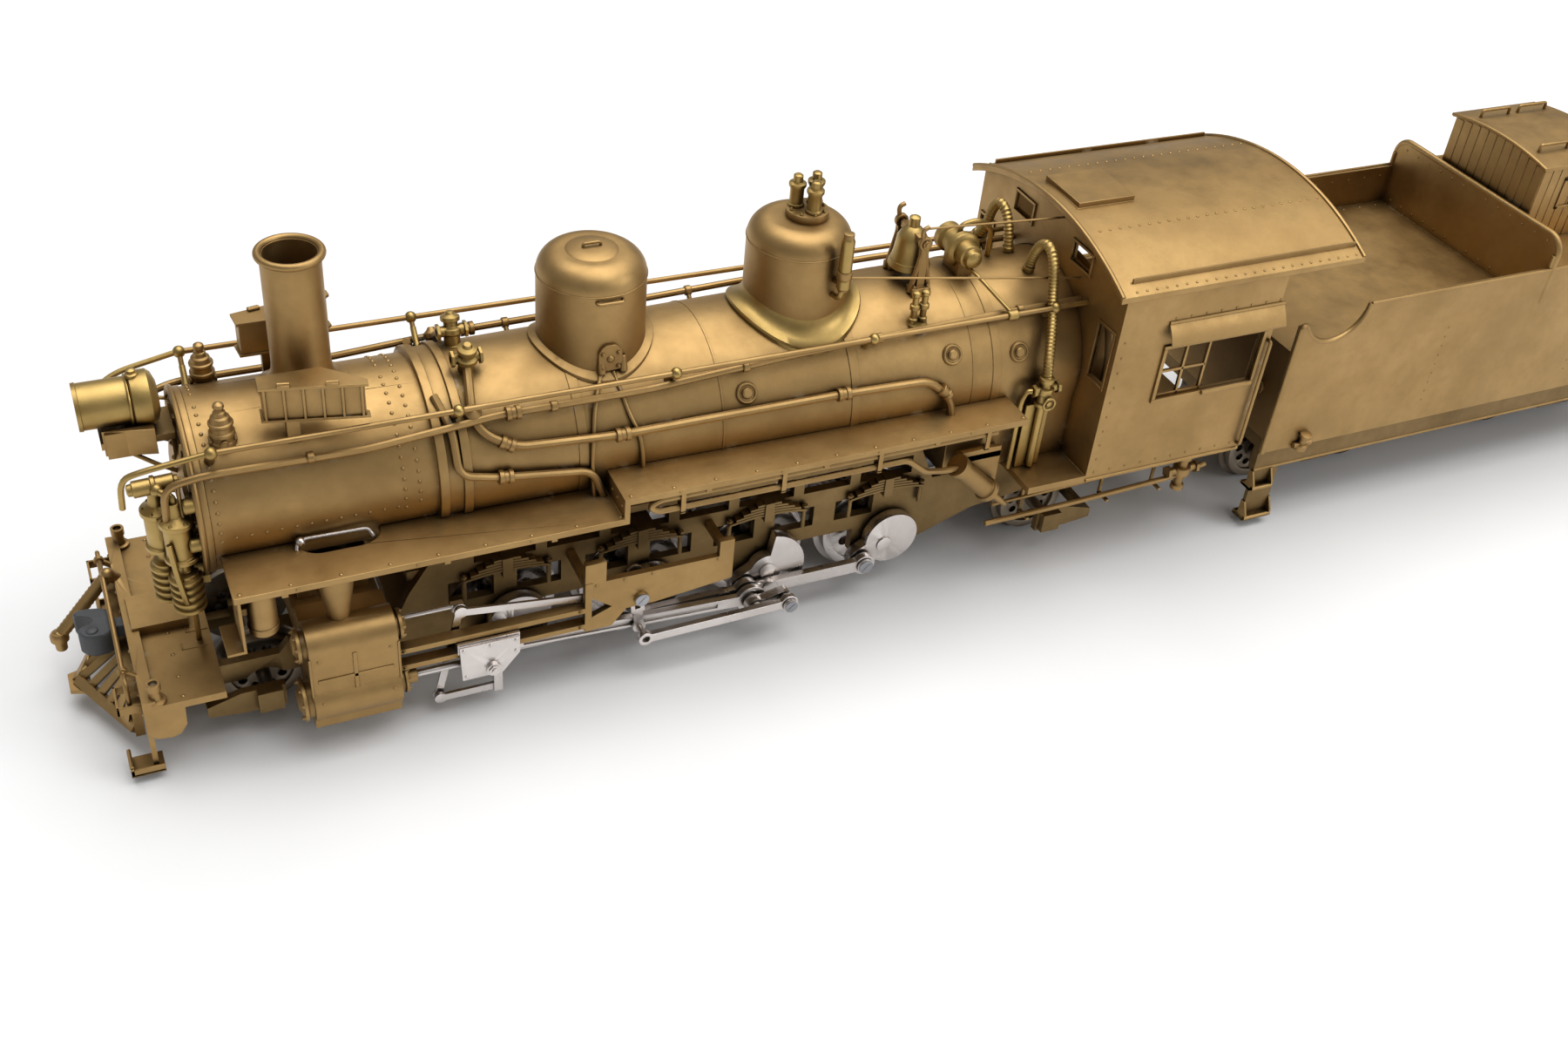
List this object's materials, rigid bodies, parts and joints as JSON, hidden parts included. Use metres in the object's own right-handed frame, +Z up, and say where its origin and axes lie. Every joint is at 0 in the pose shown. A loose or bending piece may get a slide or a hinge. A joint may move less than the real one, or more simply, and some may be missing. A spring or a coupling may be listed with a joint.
{
  "type": "model steam locomotive",
  "caption": "Unpainted brass model of an outside-frame steam locomotive with coupled wheels, rods that turn, and a tender with an open fuel space on a drawbar.",
  "frame": {"origin": "middle of the overall length on the centre line, at the level where the wheel flanges stand", "axes": "+X to the tender end, the engine's front is at -X; +Y to the engine's right side; +Z up"},
  "size_m": [0.2114, 0.0316, 0.0475],
  "materials": {
    "brass": "lightly tarnished, satin",
    "dark_brass": "darker tarnished",
    "nickel": "nickel silver, bright",
    "motor_case": "plain",
    "grey_plastic": "moulded grey"
  },
  "bodies": {
    "engine": {"main_frame": "dark_brass", "cylinders": "brass", "guides": "brass", "boiler_shell": "brass", "smokebox_front": "brass", "stack": "brass", "sand_dome": "brass", "steam_dome": "brass", "safety_valves": "brass", "turbo_generator": "brass", "bell_stand": "brass", "headlight": "brass", "class_lamps": "brass", "number_boards": "brass", "air_pump": "brass", "handrails": "brass", "running_boards": "brass", "pilot_deck": "brass", "pilot": "brass", "cab_body": "brass", "cab_roof": "brass", "backhead": "dark_brass", "boiler_pipes": "brass", "motor": "motor_case"},
    "motor_shaft": {"motor_shaft": "nickel"},
    "bell": {"bell": "brass"},
    "front_coupler": {"front_coupler": "grey_plastic"},
    "driver_axle_1": {"driver_axle_1": "nickel"},
    "driver_axle_2": {"driver_axle_2": "nickel"},
    "driver_axle_3": {"driver_axle_3": "nickel"},
    "driver_axle_4": {"driver_axle_4": "nickel"},
    "side_rod_left": {"side_rod_left": "nickel"},
    "side_rod_right": {"side_rod_right": "nickel"},
    "main_rod_left": {"main_rod_left": "nickel"},
    "main_rod_right": {"main_rod_right": "nickel"},
    "eccentric_rod_left": {"eccentric_rod_left": "nickel"},
    "eccentric_rod_right": {"eccentric_rod_right": "nickel"},
    "crosshead_left": {"crosshead_left": "nickel"},
    "crosshead_right": {"crosshead_right": "nickel"},
    "combination_lever_left": {"combination_lever_left": "nickel"},
    "combination_lever_right": {"combination_lever_right": "nickel"},
    "expansion_link_left": {"expansion_link_left": "nickel"},
    "expansion_link_right": {"expansion_link_right": "nickel"},
    "valve_rod_left": {"valve_rod_left": "nickel"},
    "valve_rod_right": {"valve_rod_right": "nickel"},
    "pilot_truck": {"pilot_truck": "dark_brass"},
    "pilot_wheelset": {"pilot_wheelset": "nickel"},
    "trailing_truck": {"trailing_truck": "dark_brass"},
    "trailing_wheelset": {"trailing_wheelset": "nickel"},
    "drawbar": {"drawbar": "dark_brass"},
    "tender_truck_front": {"tender_truck_front": "dark_brass"},
    "tender_truck_rear": {"tender_truck_rear": "dark_brass"},
    "tender_wheelset_1": {"tender_wheelset_1": "nickel"},
    "tender_wheelset_2": {"tender_wheelset_2": "nickel"},
    "tender_wheelset_3": {"tender_wheelset_3": "nickel"},
    "tender_wheelset_4": {"tender_wheelset_4": "nickel"},
    "rear_coupler": {"rear_coupler": "grey_plastic"},
    "tender": {"tender_frame": "dark_brass", "tender_body": "brass", "doghouse": "brass"}
  },
  "joints": [
    {"name": "main_axle_spin", "type": "hinge", "parent": "engine", "child": "driver_axle_3", "pos_m": [-0.03425, 0, 0.00645], "axis": [0, 1, 0], "continuous": true},
    {"name": "axle_1_spin", "type": "hinge", "parent": "engine", "child": "driver_axle_1", "pos_m": [-0.06305, 0, 0.00645], "axis": [0, 1, 0], "continuous": true},
    {"name": "axle_2_spin", "type": "hinge", "parent": "engine", "child": "driver_axle_2", "pos_m": [-0.04865, 0, 0.00645], "axis": [0, 1, 0], "continuous": true},
    {"name": "axle_4_spin", "type": "hinge", "parent": "engine", "child": "driver_axle_4", "pos_m": [-0.01985, 0, 0.00645], "axis": [0, 1, 0], "continuous": true},
    {"name": "motor_shaft_spin", "type": "hinge", "parent": "engine", "child": "motor_shaft", "pos_m": [-0.01985, 0, 0.0109], "axis": [1, 0, 0], "continuous": true},
    {"name": "side_rod_left_turn", "type": "hinge", "parent": "driver_axle_3", "child": "side_rod_left", "pos_m": [-0.03698, -0.0107, 0.00487], "axis": [0, 1, 0], "continuous": true},
    {"name": "main_rod_left_turn", "type": "hinge", "parent": "driver_axle_3", "child": "main_rod_left", "pos_m": [-0.03698, -0.01205, 0.00487], "axis": [0, 1, 0], "continuous": true},
    {"name": "eccentric_rod_left_turn", "type": "hinge", "parent": "driver_axle_3", "child": "eccentric_rod_left", "pos_m": [-0.0337, -0.0147, 0.0055], "axis": [0, 1, 0], "continuous": true},
    {"name": "crosshead_left_slide", "type": "slide", "parent": "engine", "child": "crosshead_left", "axis": [1, 0, 0], "range_m": [-0.00046, 0.00583]},
    {"name": "valve_rod_left_slide", "type": "slide", "parent": "engine", "child": "valve_rod_left", "axis": [1, 0, 0], "range_m": [-0.0008, 0.0008]},
    {"name": "combination_lever_left_swing", "type": "hinge", "parent": "valve_rod_left", "child": "combination_lever_left", "pos_m": [-0.069, -0.01277, 0.0129], "axis": [0, 1, 0], "range_deg": [-31.09, 2.73]},
    {"name": "expansion_link_left_swing", "type": "hinge", "parent": "engine", "child": "expansion_link_left", "pos_m": [-0.0506, -0.01277, 0.0105], "axis": [0, 1, 0], "range_deg": [-6, 17.9]},
    {"name": "side_rod_right_turn", "type": "hinge", "parent": "driver_axle_3", "child": "side_rod_right", "pos_m": [-0.03268, 0.0107, 0.00372], "axis": [0, 1, 0], "continuous": true},
    {"name": "main_rod_right_turn", "type": "hinge", "parent": "driver_axle_3", "child": "main_rod_right", "pos_m": [-0.03268, 0.01205, 0.00372], "axis": [0, 1, 0], "continuous": true},
    {"name": "eccentric_rod_right_turn", "type": "hinge", "parent": "driver_axle_3", "child": "eccentric_rod_right", "pos_m": [-0.0333, 0.0147, 0.007], "axis": [0, 1, 0], "continuous": true},
    {"name": "crosshead_right_slide", "type": "slide", "parent": "engine", "child": "crosshead_right", "axis": [1, 0, 0], "range_m": [-0.00485, 0.00144]},
    {"name": "valve_rod_right_slide", "type": "slide", "parent": "engine", "child": "valve_rod_right", "axis": [1, 0, 0], "range_m": [-0.0008, 0.0008]},
    {"name": "combination_lever_right_swing", "type": "hinge", "parent": "valve_rod_right", "child": "combination_lever_right", "pos_m": [-0.069, 0.01277, 0.0129], "axis": [0, 1, 0], "range_deg": [-7.9, 25.91]},
    {"name": "expansion_link_right_swing", "type": "hinge", "parent": "engine", "child": "expansion_link_right", "pos_m": [-0.0506, 0.01277, 0.0105], "axis": [0, 1, 0], "range_deg": [-1.6, 22.3]},
    {"name": "bell_swing", "type": "hinge", "parent": "engine", "child": "bell", "pos_m": [-0.0158, 0, 0.0399], "axis": [0, 1, 0], "range_deg": [-25, 25]},
    {"name": "front_coupler_swing", "type": "hinge", "parent": "engine", "child": "front_coupler", "pos_m": [-0.0948, 0, 0.00865], "axis": [0, 0, 1], "range_deg": [-10, 10]},
    {"name": "pilot_truck_swivel", "type": "hinge", "parent": "engine", "child": "pilot_truck", "pos_m": [-0.0728, 0, 0.0045], "axis": [0, 0, 1], "range_deg": [-3, 3]},
    {"name": "pilot_wheelset_spin", "type": "hinge", "parent": "pilot_truck", "child": "pilot_wheelset", "pos_m": [-0.0874, 0, 0.0047], "axis": [0, 1, 0], "continuous": true},
    {"name": "trailing_truck_swivel", "type": "hinge", "parent": "engine", "child": "trailing_truck", "pos_m": [-0.0112, 0, 0.0045], "axis": [0, 0, 1], "range_deg": [-4, 4]},
    {"name": "trailing_wheelset_spin", "type": "hinge", "parent": "trailing_truck", "child": "trailing_wheelset", "pos_m": [0.0022, 0, 0.0047], "axis": [0, 1, 0], "continuous": true},
    {"name": "drawbar_engine_pivot", "type": "hinge", "parent": "engine", "child": "drawbar", "pos_m": [0.0192, 0, 0.0094], "axis": [0, 0, 1], "range_deg": [-5, 5]},
    {"name": "drawbar_tender_pivot", "type": "hinge", "parent": "drawbar", "child": "tender", "pos_m": [0.0322, 0, 0.0094], "axis": [0, 0, 1], "range_deg": [-6, 6]},
    {"name": "tender_truck_front_swivel", "type": "hinge", "parent": "tender", "child": "tender_truck_front", "pos_m": [0.0437, 0, 0.008], "axis": [0, 0, 1], "range_deg": [-8, 8]},
    {"name": "tender_wheelset_1_spin", "type": "hinge", "parent": "tender_truck_front", "child": "tender_wheelset_1", "pos_m": [0.0361, 0, 0.005], "axis": [0, 1, 0], "continuous": true},
    {"name": "tender_wheelset_2_spin", "type": "hinge", "parent": "tender_truck_front", "child": "tender_wheelset_2", "pos_m": [0.0513, 0, 0.005], "axis": [0, 1, 0], "continuous": true},
    {"name": "tender_truck_rear_swivel", "type": "hinge", "parent": "tender", "child": "tender_truck_rear", "pos_m": [0.0847, 0, 0.008], "axis": [0, 0, 1], "range_deg": [-8, 8]},
    {"name": "tender_wheelset_3_spin", "type": "hinge", "parent": "tender_truck_rear", "child": "tender_wheelset_3", "pos_m": [0.0771, 0, 0.005], "axis": [0, 1, 0], "continuous": true},
    {"name": "tender_wheelset_4_spin", "type": "hinge", "parent": "tender_truck_rear", "child": "tender_wheelset_4", "pos_m": [0.0923, 0, 0.005], "axis": [0, 1, 0], "continuous": true},
    {"name": "rear_coupler_swing", "type": "hinge", "parent": "tender", "child": "rear_coupler", "pos_m": [0.0971, 0, 0.00865], "axis": [0, 0, 1], "range_deg": [-10, 10]}
  ],
  "couplings": [
    {"joint": "axle_1_spin", "follows": "main_axle_spin", "ratio": 1},
    {"joint": "axle_2_spin", "follows": "main_axle_spin", "ratio": 1},
    {"joint": "axle_4_spin", "follows": "main_axle_spin", "ratio": 1},
    {"joint": "motor_shaft_spin", "follows": "main_axle_spin", "ratio": 25},
    {"joint": "side_rod_left_turn", "follows": "main_axle_spin", "ratio": -1},
    {"joint": "main_rod_left_turn", "follows": "main_axle_spin", "ratio": -1},
    {"joint": "eccentric_rod_left_turn", "follows": "main_axle_spin", "ratio": -1},
    {"joint": "combination_lever_left_swing", "follows": "crosshead_left_slide", "rad_per_m": -92.166},
    {"joint": "side_rod_right_turn", "follows": "main_axle_spin", "ratio": -1},
    {"joint": "main_rod_right_turn", "follows": "main_axle_spin", "ratio": -1},
    {"joint": "eccentric_rod_right_turn", "follows": "main_axle_spin", "ratio": -1},
    {"joint": "combination_lever_right_swing", "follows": "crosshead_right_slide", "rad_per_m": -92.166}
  ]
}
